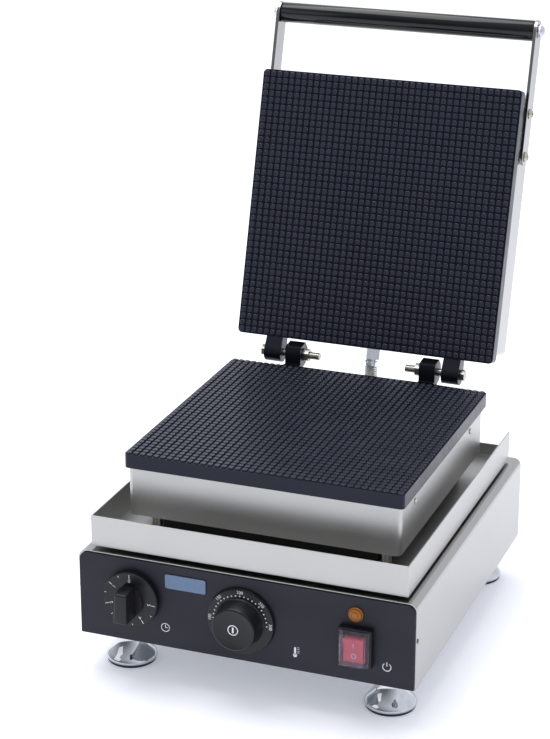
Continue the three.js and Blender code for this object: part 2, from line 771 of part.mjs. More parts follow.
// The conduit leaves the lid fitting, bows out behind the base and enters the fitting in its rear wall.
function conduit() {
  const start = lidFittingEnd + GAP;
  const end = baseFittingEnd + GAP;
  const route = [
    openPoint(start, CONDUIT.lidZ),
    openPoint(start + 6, CONDUIT.lidZ),
    [0, 333, 160],
    [0, 343, 135],
    [0, 355, 117],
    [0, 362, 102],
    [0, 362, 90],
    [0, 355, CONDUIT.baseZ + 4],
    [0, end + 4, CONDUIT.baseZ],
    [0, end, CONDUIT.baseZ],
  ];
  return tubeAlong(route, CONDUIT.radius, 5, 30);
}

add(base, "conduit", conduit(), zinc);

// The origin goes to the middle of the footprint, on the surface that the pads stand on.
const bounds = new THREE.Box3().setFromObject(root);
root.position.y = -(bounds.min.y + bounds.max.y) / 2;

export default root;
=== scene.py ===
import json
import math

import bmesh
import bpy
from bpy.props import FloatProperty, FloatVectorProperty, IntProperty, PointerProperty
from mathutils import Matrix, Vector


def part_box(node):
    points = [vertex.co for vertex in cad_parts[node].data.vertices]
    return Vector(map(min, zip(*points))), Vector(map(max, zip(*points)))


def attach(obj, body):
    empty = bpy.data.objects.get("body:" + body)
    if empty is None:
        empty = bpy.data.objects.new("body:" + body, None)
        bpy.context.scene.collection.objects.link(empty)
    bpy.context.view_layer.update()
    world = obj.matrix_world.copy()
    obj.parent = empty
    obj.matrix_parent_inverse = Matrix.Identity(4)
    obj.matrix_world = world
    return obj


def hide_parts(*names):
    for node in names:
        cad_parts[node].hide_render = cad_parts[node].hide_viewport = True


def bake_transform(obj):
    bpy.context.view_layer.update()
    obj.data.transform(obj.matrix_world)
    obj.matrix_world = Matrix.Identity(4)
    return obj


bl_info = {
    "name": "Waffle cone maker",
    "version": (1, 0, 0),
    "blender": (4, 5, 0),
    "location": "3D View > Sidebar > Cone maker",
    "description": "Builds a counter-top waffle cone maker on its packed frame",
    "category": "Add Mesh",
}

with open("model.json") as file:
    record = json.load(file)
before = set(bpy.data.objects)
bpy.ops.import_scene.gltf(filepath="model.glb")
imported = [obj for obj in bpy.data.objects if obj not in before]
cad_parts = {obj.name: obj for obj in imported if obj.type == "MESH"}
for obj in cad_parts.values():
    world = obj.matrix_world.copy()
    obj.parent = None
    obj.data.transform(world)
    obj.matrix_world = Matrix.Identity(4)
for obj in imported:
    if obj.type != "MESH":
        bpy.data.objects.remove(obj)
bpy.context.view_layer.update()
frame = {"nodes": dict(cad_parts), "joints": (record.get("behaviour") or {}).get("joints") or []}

# ---- places, in millimetres ----
# x = 0 is the middle plane, y = 0 the control panel's face and z = 0 the surface it stands on.

MM = 0.001
TO_METRES = Matrix.Scale(MM, 4)
TO_MM = Matrix.Scale(1 / MM, 4)
PANEL_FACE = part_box("control_panel")[0].y
LID_JOINT = next(joint for joint in frame["joints"] if joint["name"] == "lid_hinge")
HINGE = Vector(LID_JOINT["pos_m"])
LID_ANGLE = math.radians(LID_JOINT["range_deg"][1])
DESIGN = Matrix.Translation((0, PANEL_FACE, 0)) @ TO_METRES
OPEN_LID = Matrix.Translation(HINGE) @ Matrix.Rotation(-LID_ANGLE, 4, "X") @ Matrix.Translation(-HINGE)


def place_of(node):
    """The middle of a CAD node's box, in millimetres."""
    low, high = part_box(node)
    return DESIGN.inverted() @ ((low + high) / 2)


def corners_places(kind):
    """Where the four pieces of a kind stand, one near each corner."""
    return [(*place_of(f"{kind}_{corner}").xy, 0) for corner in CORNERS]


CORNERS = [f"{end}_{side}" for end in ("front", "rear") for side in ("left", "right")]
SIDES = ((-1, "left"), (1, "right"))
PLATE = {"front": 41.5, "back": 291, "top": 191.2}
LID_PLATE_FACE = 191.7
CASING_HALF = 122.1
BOLT = {"y": 305, "z": 197.7, "thread_from": 42.7, "thread_to": 52.0}
CONDUIT = {"lid_y": 304.4, "lid_z": 226.7, "base_z": 74}
TIMER = place_of("timer_shaft")
THERMOSTAT = place_of("thermostat_shaft")
LAMP = place_of("pilot_lamp_lens")
SWITCH = place_of("switch_body")
GRIP = {"y": -14.7, "z": 224.7, "half": 123.1, "radius": 9.5}
ARM_OUTER = 126.4
ARM_SCREWS = (60.8, 100.2)
ROCKER_PIVOT = (SWITCH.x, -1, 70.1)
INK = 0.1  # how far a printed sign stands up
DIAL_INK = 0.12  # and a mark on a knob


# ---- settings ----


def length_property(name, description, millimetres):
    return FloatProperty(name=name, description=description, default=millimetres * MM, unit="LENGTH")


class PlateSettings(bpy.types.PropertyGroup):
    """The raised squares of the two cooking plates."""

    rows: IntProperty(name="Squares per side", description="Squares along each edge", default=40, min=4)
    groove: length_property("Groove width", "Gap between squares", 1.25)
    depth: length_property("Groove depth", "Height of a square", 1.3)


class ConduitSettings(bpy.types.PropertyGroup):
    """The wound metal conduit between the base and the lid."""

    pitch: length_property("Ring pitch", "Distance from one turn to the next", 1.9)
    radius: length_property("Radius", "Outer radius of the turns", 6.2)


def colour_property(name, description, value):
    return FloatVectorProperty(
        name=name, description=description, subtype="COLOR", size=3, min=0, max=1, default=value
    )


def linear(code):
    """An sRGB hex colour as linear red, green and blue."""
    channels = (int(code[i : i + 2], 16) / 255 for i in (1, 3, 5))
    return tuple(c / 12.92 if c <= 0.04045 else ((c + 0.055) / 1.055) ** 2.4 for c in channels)


class FinishSettings(bpy.types.PropertyGroup):
    """Base colours of the main finishes."""

    steel: colour_property("Steel", "Brushed stainless sheet", linear("#b9b8b6"))
    iron: colour_property("Iron", "Coated cast iron of the plates", linear("#1c1e27"))
    panel: colour_property("Panel", "Printed film on the control panel", linear("#1f1e2a"))
    moulding: colour_property("Moulding", "Black plastic of the knobs and switch", linear("#141418"))
    rocker: colour_property("Rocker", "Red plastic of the switch", linear("#ff6a71"))


class StageSettings(bpy.types.PropertyGroup):
    """Floor, lights and camera."""

    daylight: FloatProperty(name="Surround", description="Strength of the white surround", default=1.0)
    key: FloatProperty(
        name="Key light", description="Power of the overhead light", default=34, unit="POWER"
    )


# ---- materials ----


def add_node(tree, kind, inputs=None, **settings):
    """Adds a node, sets its properties, and fills its inputs with values or links."""
    made = tree.nodes.new(kind)
    for name, value in settings.items():
        setattr(made, name, value)
    for key, value in (inputs or {}).items():
        if isinstance(value, bpy.types.NodeSocket):
            tree.links.new(value, made.inputs[key])
        else:
            made.inputs[key].default_value = value
    return made


def maths(tree, operation, first, second):
    return add_node(tree, "ShaderNodeMath", {0: first, 1: second}, operation=operation).outputs[0]


def new_material(name, inputs):
    """A material with one Principled shader, whose inputs are set."""
    material = bpy.data.materials.new(name)
    material.use_nodes = True
    shader = material.node_tree.nodes["Principled BSDF"]
    for key, value in inputs.items():
        shader.inputs[key].default_value = (*value, 1) if isinstance(value, tuple) else value
    return material


def grain(material, size_mm, detail, stretch=(1, 1, 1)):
    """Noise on object coordinates whose features are size_mm across, times the stretch."""
    tree = material.node_tree
    place = add_node(tree, "ShaderNodeTexCoord").outputs["Object"]
    scale = [1 / (size_mm * MM * s) for s in stretch]
    mapped = add_node(tree, "ShaderNodeMapping", {"Vector": place, "Scale": scale}).outputs[0]
    noise = add_node(tree, "ShaderNodeTexNoise", {"Vector": mapped, "Scale": 1.0, "Detail": detail})
    return noise.outputs["Fac"]


def between(tree, factor, low, high, start=0.3, end=0.7):
    """A factor's stretch from start to end, mapped to run from low to high."""
    inputs = {"Value": factor, "From Min": start, "From Max": end, "To Min": low, "To Max": high}
    return add_node(tree, "ShaderNodeMapRange", inputs).outputs["Result"]


def tint(tree, factor, first, second):
    """A colour that runs from the first to the second with the noise factor."""
    inputs = {0: between(tree, factor, 0, 1), 6: (*first, 1), 7: (*second, 1)}
    return add_node(tree, "ShaderNodeMix", inputs, data_type="RGBA").outputs[2]


def dressed(material, tone, relief, rough=None):
    """Drives a material by grains and returns it.

    tone is (grain, colour, darkest, lightest), relief (grain, height in millimetres, strength) and
    rough (grain, lowest, highest).
    """
    tree = material.node_tree
    inputs = tree.nodes["Principled BSDF"].inputs
    fleck, colour, darkest, lightest = tone
    colours = tint(tree, fleck, shade(colour, darkest), shade(colour, lightest))
    tree.links.new(colours, inputs["Base Color"])
    swell, height, strength = relief
    rise = {"Height": swell, "Distance": height * MM, "Strength": strength}
    tree.links.new(add_node(tree, "ShaderNodeBump", rise).outputs["Normal"], inputs["Normal"])
    if rough:
        tree.links.new(between(tree, *rough), inputs["Roughness"])
    return material


def shade(colour, factor):
    return tuple(min(1, c * factor) for c in colour)


def brushed_stainless(name, lift, dullest, metallic):
    """Stainless sheet ground with a fine belt: soft level lines that widen every reflection."""
    colour = shade(tuple(bpy.context.scene.cone_finishes.steel), lift)
    material = new_material(name, {"Metallic": metallic})
    tree = material.node_tree
    # The belt leaves lines about 0.1 mm apart. They are drawn 0.7 mm apart, so that they show.
    walls = grain(material, 0.7, 4, (120, 120, 1))
    flats = grain(material, 0.7, 4, (120, 1, 120))
    normal = add_node(tree, "ShaderNodeNewGeometry").outputs["Normal"]
    upward = add_node(tree, "ShaderNodeSeparateXYZ", {0: normal}).outputs["Z"]
    level = add_node(tree, "ShaderNodeMath", {0: upward}, operation="ABSOLUTE").outputs[0]
    flat = maths(tree, "GREATER_THAN", level, 0.7)
    lines = add_node(tree, "ShaderNodeMix", {0: flat, 2: walls, 3: flats}).outputs[0]
    handled = between(tree, grain(material, 45, 2), -0.015, 0.02)
    shine = maths(tree, "ADD", between(tree, lines, dullest - 0.05, dullest), handled)
    tree.links.new(shine, tree.nodes["Principled BSDF"].inputs["Roughness"])
    return dressed(material, (lines, colour, 0.98, 1.01), (lines, 0.004, 0.2))


def coated_iron(name, lift, gloss, ior):
    """Cast iron, shot-blasted and baked with a thin non-stick coat: blue-black, with a grazing sheen."""
    colour = shade(tuple(bpy.context.scene.cone_finishes.iron), lift)
    material = new_material(name, {"IOR": ior, "Specular Tint": linear("#dbe3ff")})
    cast = grain(material, 1.1, 5)
    patch = grain(material, 28, 2)
    return dressed(material, (cast, colour, 0.7, 1.35), (cast, 0.12, 0.7), (patch, gloss, gloss + 0.08))


def panel_film():
    """Screen-printed polyester film on the panel: charcoal with a fine pebble and a soft sheen."""
    colour = tuple(bpy.context.scene.cone_finishes.panel)
    material = new_material("printed_polyester_film", {"Specular IOR Level": 0.3})
    pebble = grain(material, 0.6, 2)
    wiped = grain(material, 30, 3, (3, 1, 1))
    return dressed(material, (pebble, colour, 0.94, 1.06), (pebble, 0.02, 0.5), (wiped, 0.40, 0.55))


def moulded_plastic(name, colour, low, high, grain_mm=0.5, height_mm=0.01, shine=0.35):
    """Injection-moulded plastic: even colour, with the mould's spark-eroded texture in its shine."""
    material = new_material(name, {"Specular IOR Level": shine})
    texture = grain(material, grain_mm, 2)
    haze = grain(material, 16, 2)
    return dressed(material, (haze, colour, 0.93, 1.07), (texture, height_mm, 0.5), (haze, low, high))


def plated_steel(name, colour, low, high):
    """Plated steel hardware: bright metal with a slight haze and handling marks."""
    material = new_material(name, {"Metallic": 1.0})
    haze = grain(material, 7, 4)
    return dressed(material, (haze, colour, 0.9, 1.05), (haze, 0.01, 0.3), (haze, low, high))


def soft_material(name, colour, roughness, grain_mm, height_mm):
    """A dull, non-metal surface with a visible grain, such as rubber or mineral wool."""
    material = new_material(name, {"IOR": 1.5, "Roughness": roughness})
    fibre = grain(material, grain_mm, 5)
    return dressed(material, (fibre, colour, 0.8, 1.15), (fibre, height_mm, 0.8))


def see_through_plastic(name, colour, roughness, transmission, ior):
    """Clear or tinted plastic: light passes, and the moulding's slight waves bend it."""
    inputs = {"IOR": ior, "Transmission Weight": transmission, "Specular IOR Level": 0.35}
    material = new_material(name, inputs)
    wave = grain(material, 6, 2)
    rough = (wave, roughness, roughness + 0.06)
    return dressed(material, (wave, colour, 0.95, 1), (wave, 0.03, 0.4), rough)


def make_finishes():
    """Every finish by name. Each is made once."""
    finishes = bpy.context.scene.cone_finishes
    black = tuple(finishes.moulding)
    return {
        "stainless": brushed_stainless("brushed_stainless", 0.84, 0.2, 1.0),
        # The tray and lower casing are dull, from the mill, and painted lighter and less metallic than
        # the brushed sheet: painted light for the well.
        "mill_stainless_painted_light": brushed_stainless("mill_finish_stainless", 1.03, 0.36, 0.8),
        # The plate's body and squares are one casting: the body's copy is painted darker (lift 0.35
        # against 1.3), painted shade on groove floors, sides and edges.
        "iron_body": coated_iron("coated_cast_iron_body", 0.35, 0.26, 1.42),
        "iron_squares": coated_iron("coated_cast_iron_squares", 1.3, 0.32, 1.6),
        "film": panel_film(),
        # Phenolic knobs: slightly glossy black.
        "knob": moulded_plastic("moulded_phenolic", black, 0.28, 0.4),
        # Nylon: the switch frame's duller black.
        "nylon": moulded_plastic("moulded_nylon", shade(black, 0.8), 0.36, 0.5, 0.4, 0.015),
        # Polished phenolic of the grip: near mirror gloss over black.
        "grip": moulded_plastic("polished_phenolic_tube", shade(black, 0.6), 0.10, 0.16, 3, 0.004, 0.4),
        "chrome": plated_steel("bright_chrome_plate", linear("#c8cbd0"), 0.04, 0.09),
        "zinc": plated_steel("zinc_plated_steel", linear("#b9b6ab"), 0.24, 0.4),
        "galvanised": plated_steel("galvanised_sheet", linear("#a9acb0"), 0.35, 0.55),
        # Bright nickel: the coupling nut and ferrule at the lid catch the whole white room.
        "nickel": plated_steel("bright_nickel_plate", linear("#eef1f6"), 0.14, 0.22),
        "strip": plated_steel("wound_steel_strip", linear("#cfcfcb"), 0.3, 0.45),
        "sheath": plated_steel("heat_tinted_sheath", linear("#6d675d"), 0.4, 0.6),
        # The shroud under the lower casing is near-black: partly its enamel, partly painted shade for
        # the gap under the casing.
        "black_sheet": moulded_plastic("black_stoved_enamel", linear("#161616"), 0.35, 0.5, 0.8, 0.03),
        "rubber": soft_material("moulded_rubber", linear("#171b3a"), 0.7, 0.8, 0.02),
        "wool": soft_material("mineral_wool_felt", linear("#ddd8ca"), 0.95, 2.5, 0.5),
        "steatite": soft_material("steatite_ceramic", linear("#e6e1d5"), 0.55, 1.5, 0.03),
        "red": see_through_plastic("tinted_red_polycarbonate", tuple(finishes.rocker), 0.2, 0.1, 1.58),
        # Soft PVC: clear, with a faint milky veil that pales whatever is under it.
        "clear": see_through_plastic("clear_soft_pvc", linear("#e9e2ee"), 0.05, 0.95, 1.18),
        "amber": see_through_plastic("amber_polycarbonate", linear("#a4600a"), 0.12, 0.05, 1.58),
        "ink": soft_material("white_screen_ink", linear("#e9e9ee"), 0.5, 1.0, 0.002),
        "blank": plated_steel("satin_anodised_plate", linear("#66778f"), 0.34, 0.46),
    }


FINISHES = {}

# ---- mesh tools ----
# Shapes are drawn in millimetres on the closed machine. finish_piece takes them to their place.


def lathe(profile, segments=64):
    """Turns (radius, height) points about Z. The ends lie on the axis, or the profile is a loop."""
    mesh = bmesh.new()
    rings = []
    loop = profile[0] == profile[-1]
    for radius, height in profile[:-1] if loop else profile:
        if radius == 0:
            rings.append([mesh.verts.new((0, 0, height))])
            continue
        turns = [2 * math.pi * i / segments for i in range(segments)]
        spots = [(radius * math.cos(t), radius * math.sin(t), height) for t in turns]
        rings.append([mesh.verts.new(spot) for spot in spots])
    for lower, upper in list(zip(rings, rings[1:])) + ([(rings[-1], rings[0])] if loop else []):
        for i in range(segments):
            j = (i + 1) % segments
            quad = ((lower, i), (lower, j), (upper, j), (upper, i))
            corners = [ring[k % len(ring)] for ring, k in quad]
            mesh.faces.new(list(dict.fromkeys(corners)))
    bmesh.ops.recalc_face_normals(mesh, faces=mesh.faces)
    return mesh


def disc(radius, low, high, segments):
    return lathe([(0, low), (radius, low), (radius, high), (0, high)], segments)


def washer(inner, outer, low, high, segments):
    corners = [(inner, low), (outer, low), (outer, high), (inner, high)]
    return lathe([*corners, corners[0]], segments)


def prism(outline, low, high):
    """A closed outline in X and Y, raised from low to high."""
    mesh = bmesh.new()
    face = mesh.faces.new([mesh.verts.new((x, y, low)) for x, y in outline])
    raised = bmesh.ops.extrude_face_region(mesh, geom=[face])["geom"]
    upper = [item for item in raised if isinstance(item, bmesh.types.BMVert)]
    bmesh.ops.translate(mesh, verts=upper, vec=(0, 0, high - low))
    bmesh.ops.recalc_face_normals(mesh, faces=mesh.faces)
    return mesh


def slab(x0, x1, y0, y1, height):
    """A plain block that stands on z = 0."""
    return prism([(x0, y0), (x1, y0), (x1, y1), (x0, y1)], 0, height)


def arc(x, y, radius, start, end, steps=8):
    """Points on an arc, from start to end in degrees."""
    angles = (math.radians(start + (end - start) * i / steps) for i in range(steps + 1))
    return [(x + radius * math.cos(a), y + radius * math.sin(a)) for a in angles]


def rounded(half_x, half_y, radius, steps=6):
    """A rectangle with round corners about the origin."""
    x, y = half_x - radius, half_y - radius
    corners = ((x, y, 0), (-x, y, 90), (-x, -y, 180), (x, -y, 270))
    return [p for cx, cy, start in corners for p in arc(cx, cy, radius, start, start + 90, steps)]


def bevelled(mesh, width, segments=3, angle=30):
    """Rounds every edge that is sharper than the angle."""
    sharp = [e for e in mesh.edges if e.is_manifold and e.calc_face_angle(0) > math.radians(angle)]
    shape = {"segments": segments, "profile": 0.5, "affect": "EDGES", "clamp_overlap": True}
    bmesh.ops.bevel(mesh, geom=sharp, offset=width, **shape)
    return mesh


def moved(mesh, matrix):
    bmesh.ops.transform(mesh, matrix=matrix, verts=mesh.verts)
    if matrix.determinant() < 0:
        bmesh.ops.reverse_faces(mesh, faces=mesh.faces)
    return mesh


def towards(axis, x=0, y=0, z=0):
    """A matrix that takes the Z axis to X, to -X or to -Y (out of the panel), and then moves."""
    degrees, about = {"x": (90, "Y"), "-x": (-90, "Y"), "-y": (90, "X")}[axis]
    return Matrix.Translation((x, y, z)) @ Matrix.Rotation(math.radians(degrees), 4, about)


def united(*meshes):
    """Several meshes in one, each still its own closed shell."""
    whole = bmesh.new()
    for mesh in meshes:
        part = bpy.data.meshes.new("part")
        mesh.to_mesh(part)
        mesh.free()
        whole.from_mesh(part)
        bpy.data.meshes.remove(part)
    return whole


def linked(name, data):
    """A new object that carries the data, in the scene."""
    made = bpy.data.objects.new(name, data)
    bpy.context.scene.collection.objects.link(made)
    return made


def evaluated(made):
    """The mesh that an object shows once its modifiers have run."""
    bpy.context.view_layer.update()
    return bpy.data.meshes.new_from_object(made.evaluated_get(bpy.context.evaluated_depsgraph_get()))


def loosened(carrier):
    """The shape that an object shows, as a loose mesh. The object goes."""
    data = evaluated(carrier)
    mesh = bmesh.new()
    mesh.from_mesh(data)
    bpy.data.objects.remove(carrier)
    bpy.data.meshes.remove(data)
    return mesh


def mesh_object(name, mesh, finish, smooth=35):
    """Makes an object of a mesh that is already in its place, in metres."""
    data = bpy.data.meshes.new(name)
    mesh.to_mesh(data)
    mesh.free()
    data.shade_smooth()
    data.set_sharp_from_angle(angle=math.radians(smooth))
    data.materials.append(FINISHES[finish])
    return linked(name, data)


def flat_faces_kept(made):
    """Gives large flat faces their own true normals, so that rounded edges do not shade them."""
    modifier = made.modifiers.new("weigh", "WEIGHTED_NORMAL")
    modifier.weight = 50
    modifier.keep_sharp = True
    data = evaluated(made)
    made.modifiers.clear()
    plain = made.data
    made.data = data
    bpy.data.meshes.remove(plain)
    data.name = made.name


def finish_piece(name, mesh, finish, body, replaces=(), smooth=35):
    """Takes a mesh in millimetres to its place, gives it its finish and body, and hides the CAD nodes it
    replaces.
    """
    moved(mesh, (OPEN_LID @ DESIGN) if body == "lid" else DESIGN)
    made = mesh_object(name, mesh, finish, smooth)
    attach(made, body)
    if replaces:
        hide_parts(*replaces)
    return made


def soft_copy(node, finish, width, body="base", segments=2, smooth=35, change=None):
    """A copy of a CAD node with its flat faces merged and its edges rounded by width millimetres."""
    mesh = bmesh.new()
    mesh.from_mesh(frame["nodes"][node].data)
    bmesh.ops.remove_doubles(mesh, verts=mesh.verts, dist=0.002 * MM)
    if change:
        change(mesh)
    parts = {"verts": mesh.verts, "edges": mesh.edges, "use_dissolve_boundaries": False}
    bmesh.ops.dissolve_limit(mesh, angle_limit=math.radians(1), **parts)
    if width:
        bevelled(mesh, width * MM, segments, 40)
    bmesh.ops.recalc_face_normals(mesh, faces=mesh.faces)
    made = mesh_object(f"{node}_finished", mesh, finish, smooth)
    flat_faces_kept(made)
    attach(made, body)
    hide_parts(node)
    return made


# ---- geometry node trees ----


def new_tree(name, **sockets):
    """A geometry tree with named inputs, and those inputs."""
    tree = bpy.data.node_groups.new(name, "GeometryNodeTree")
    for label, kind in {"Geometry": "Geometry", **sockets}.items():
        tree.interface.new_socket(label, in_out="INPUT", socket_type=f"NodeSocket{kind}")
    tree.interface.new_socket("Geometry", in_out="OUTPUT", socket_type="NodeSocketGeometry")
    return tree, add_node(tree, "NodeGroupInput").outputs


def end_tree(tree, parts, finish):
    """Joins the parts and ends the tree with real geometry that carries its material."""
    joined = add_node(tree, "GeometryNodeJoinGeometry")
    for part in parts:
        tree.links.new(part, joined.inputs[0])
    real = add_node(tree, "GeometryNodeRealizeInstances", {0: joined.outputs[0]}).outputs[0]
    painted = add_node(tree, "GeometryNodeSetMaterial", {"Geometry": real, "Material": finish})
    add_node(tree, "NodeGroupOutput", {0: painted.outputs[0]})
    return tree


def grown(carrier, tree, values):
    """Runs a tree on a carrier object and returns the result as a loose mesh. The carrier goes."""
    modifier = carrier.modifiers.new("grow", "NODES")
    modifier.node_group = tree
    sockets = [item for item in tree.interface.items_tree if item.in_out == "INPUT"]
    identifiers = {item.name: item.identifier for item in sockets}
    for label, value in values.items():
        modifier[identifiers[label]] = value
    mesh = loosened(carrier)
    bmesh.ops.recalc_face_normals(mesh, faces=mesh.faces)
    return moved(mesh, TO_MM)


def carrier_of(points, turns=None):
    """An object whose bare vertices are the points, with a turn for each, all in millimetres."""
    data = bpy.data.meshes.new("carrier")
    data.from_pydata([Vector(p) * MM for p in points], [], [])
    turn = data.attributes.new("turn", "FLOAT_VECTOR", "POINT")
    for index, angles in enumerate(turns or [(0, 0, 0)] * len(points)):
        turn.data[index].vector = angles
    return linked("carrier", data)


def copies_tree():
    """Places a copy of the template on each vertex, turned by the vertex's own angles."""
    tree, given = new_tree("Place copies", Template="Object", Finish="Material")
    template = add_node(tree, "GeometryNodeObjectInfo", {"Object": given["Template"]})
    turn = add_node(tree, "GeometryNodeInputNamedAttribute", {"Name": "turn"}, data_type="FLOAT_VECTOR")
    points = add_node(tree, "GeometryNodeMeshToPoints", {"Mesh": given["Geometry"]}).outputs[0]
    shape, angles = template.outputs["Geometry"], turn.outputs["Attribute"]
    inputs = {"Points": points, "Instance": shape, "Rotation": angles}
    copies = add_node(tree, "GeometryNodeInstanceOnPoints", inputs)
    return end_tree(tree, copies.outputs[:1], given["Finish"])


def raised(tree, mesh, top, height, scale):
    """Raises the top faces of a mesh by the height and draws them in. Returns the mesh and its top."""
    inputs = {"Mesh": mesh, "Offset Scale": height} | ({"Selection": top} if top else {})
    wall = add_node(tree, "GeometryNodeExtrudeMesh", inputs).outputs
    inputs = {"Geometry": wall["Mesh"], "Selection": wall["Top"], "Scale": scale}
    return add_node(tree, "GeometryNodeScaleElements", inputs).outputs[0], wall["Top"]


def squares_tree():
    """A square field of raised squares, each with cut corners, drafted sides and an eased top."""
    sockets = {"Rows": "Int", "Pitch": "Float", "Groove": "Float", "Depth": "Float"}
    tree, given = new_tree("Raised squares", **sockets, Finish="Material")
    rows = given["Rows"]
    side = maths(tree, "MULTIPLY", maths(tree, "SUBTRACT", rows, 1), given["Pitch"])
    width = maths(tree, "SUBTRACT", given["Pitch"], given["Groove"])
    inputs = {"Size X": side, "Size Y": side, "Vertices X": rows, "Vertices Y": rows}
    grid = add_node(tree, "GeometryNodeMeshGrid", inputs).outputs["Mesh"]
    inputs = {"Width": width, "Height": width}
    outline = add_node(tree, "GeometryNodeCurvePrimitiveQuadrilateral", inputs).outputs[0]
    inputs = {"Curve": outline, "Radius": maths(tree, "MULTIPLY", width, 0.2), "Limit Radius": True}
    eased = add_node(tree, "GeometryNodeFilletCurve", inputs).outputs[0]
    foot = add_node(tree, "GeometryNodeFillCurve", {"Curve": eased}, mode="NGONS").outputs[0]
    wall, top = raised(tree, foot, None, maths(tree, "MULTIPLY", given["Depth"], 0.8), 0.95)
    crown, _ = raised(tree, wall, top, maths(tree, "MULTIPLY", given["Depth"], 0.2), 0.86)
    under = add_node(tree, "GeometryNodeFlipFaces", {"Mesh": foot}).outputs[0]
    both = add_node(tree, "GeometryNodeJoinGeometry")
    tree.links.new(crown, both.inputs[0])
    tree.links.new(under, both.inputs[0])
    inputs = {"Geometry": both.outputs[0], "Distance": 1e-5}
    closed = add_node(tree, "GeometryNodeMergeByDistance", inputs).outputs[0]
    copies = add_node(tree, "GeometryNodeInstanceOnPoints", {"Points": grid, "Instance": closed})
    return end_tree(tree, copies.outputs[:1], given["Finish"])


def rings_tree():
    """Round a curve: a core bar, and closed rings at a fixed pitch that stand out to the radius."""
    sockets = {"Pitch": "Float", "Radius": "Float", "Ring": "Float", "Finish": "Material"}
    tree, given = new_tree("Rings on a line", **sockets)
    line = given["Geometry"]

    def circle(sides, radius):
        inputs = {"Resolution": sides, "Radius": radius}
        return add_node(tree, "GeometryNodeCurvePrimitiveCircle", inputs).outputs[0]

    def swept(curve, profile, capped=False):
        inputs = {"Curve": curve, "Profile Curve": profile, "Fill Caps": capped}
        return add_node(tree, "GeometryNodeCurveToMesh", inputs).outputs[0]

    core_round = circle(24, maths(tree, "SUBTRACT", given["Radius"], given["Ring"]))
    core = swept(line, core_round, True)
    ring = swept(core_round, circle(6, given["Ring"]))
    inputs = {"Curve": line, "Length": given["Pitch"]}
    stations = add_node(tree, "GeometryNodeResampleCurve", inputs, mode="LENGTH").outputs[0]
    points = add_node(tree, "GeometryNodeCurveToPoints", {"Curve": stations}, mode="EVALUATED").outputs
    inputs = {"Vector": points["Tangent"]}
    facing = add_node(tree, "FunctionNodeAlignRotationToVector", inputs, axis="Z").outputs[0]
    inputs = {"Points": points[0], "Instance": ring, "Rotation": facing}
    copies = add_node(tree, "GeometryNodeInstanceOnPoints", inputs).outputs[0]
    return end_tree(tree, (core, copies), given["Finish"])


def repeated(template, points, finish, turns=None):
    """A mesh in millimetres, copied to each point by the Place copies tree."""
    pattern = mesh_object("template", moved(template, TO_METRES), finish)
    carrier = carrier_of(points, turns)
    tree = bpy.data.node_groups.get("Place copies") or copies_tree()
    mesh = grown(carrier, tree, {"Template": pattern, "Finish": FINISHES[finish]})
    bpy.data.objects.remove(pattern)
    return mesh


def ringed(points, pitch, radius, ring, finish):
    """A bar with rings along points in millimetres, by the Rings on a line tree."""
    curve = bpy.data.curves.new("line", "CURVE")
    curve.dimensions = "3D"
    curve.resolution_u = 12
    spline = curve.splines.new("BEZIER")
    spline.bezier_points.add(len(points) - 1)
    for knot, point in zip(spline.bezier_points, points):
        knot.co = Vector(point) * MM
        knot.handle_left_type = knot.handle_right_type = "AUTO"
    tree = bpy.data.node_groups.get("Rings on a line") or rings_tree()
    values = {"Pitch": pitch * MM, "Radius": radius * MM, "Ring": ring * MM, "Finish": FINISHES[finish]}
    return grown(linked("line", curve), tree, values)


# ---- pieces: plates ----


def grid_squares(name, body):
    """The field of squares on one plate. Its top is level with the CAD plate's face."""
    plate = bpy.context.scene.cone_plates
    rooted = 0.2  # how deep the squares' feet go into the plate
    values = {
        "Rows": plate.rows,
        "Pitch": (PLATE["back"] - PLATE["front"] - 1.5) * MM / plate.rows,
        "Groove": plate.groove,
        "Depth": plate.depth + rooted * MM,
        "Finish": FINISHES["iron_squares"],
    }
    tree = bpy.data.node_groups.get("Raised squares") or squares_tree()
    mesh = grown(carrier_of([(0, 0, 0)]), tree, values)
    middle = (PLATE["front"] + PLATE["back"]) / 2
    depth = plate.depth / MM + rooted
    if body == "lid":
        turn = Matrix.Rotation(math.pi, 4, "X")
        moved(mesh, Matrix.Translation((0, middle, LID_PLATE_FACE + depth)) @ turn)
    else:
        moved(mesh, Matrix.Translation((0, middle, PLATE["top"] - depth)))
    return finish_piece(name, mesh, "iron_squares", body, smooth=20)


def plate_body(node, body):
    """The plate under its squares: the CAD slab with its face lowered to the grooves' floor."""
    depth = bpy.context.scene.cone_plates.depth
    in_lid = body == "lid"
    to_closed = OPEN_LID.inverted() if in_lid else Matrix.Identity(4)
    face = (LID_PLATE_FACE if in_lid else PLATE["top"]) * MM
    edge = PANEL_FACE + (PLATE["back"] + 0.2) * MM
    step = depth if in_lid else -depth

    def lower_face(mesh):
        for vert in mesh.verts:
            flat = to_closed @ vert.co
            if abs(flat.z - face) < 0.05 * MM and flat.y < edge:
                flat.z += step
                vert.co = to_closed.inverted() @ flat

    # The darker iron copy: painted shade on the grooves' floor and the plate's edges.
    return soft_copy(node, "iron_body", 0.9, body, 3, 40, lower_face)


# ---- pieces: sheet metal ----


def casing_screws():
    """Small pan heads on the lower casing's sides."""
    head = lathe([(0, -0.4), (2.6, -0.4), (2.6, 0.3), (2.2, 1.0), (1.0, 1.4), (0, 1.5)], 24)
    sides = [side for side in (-1, 1) for _ in range(2)]
    points = [(side * CASING_HALF, y, 168.5) for side, y in zip(sides, (82, 246) * 2)]
    return repeated(head, points, "zinc", [(0, side * math.pi / 2, 0) for side in sides])


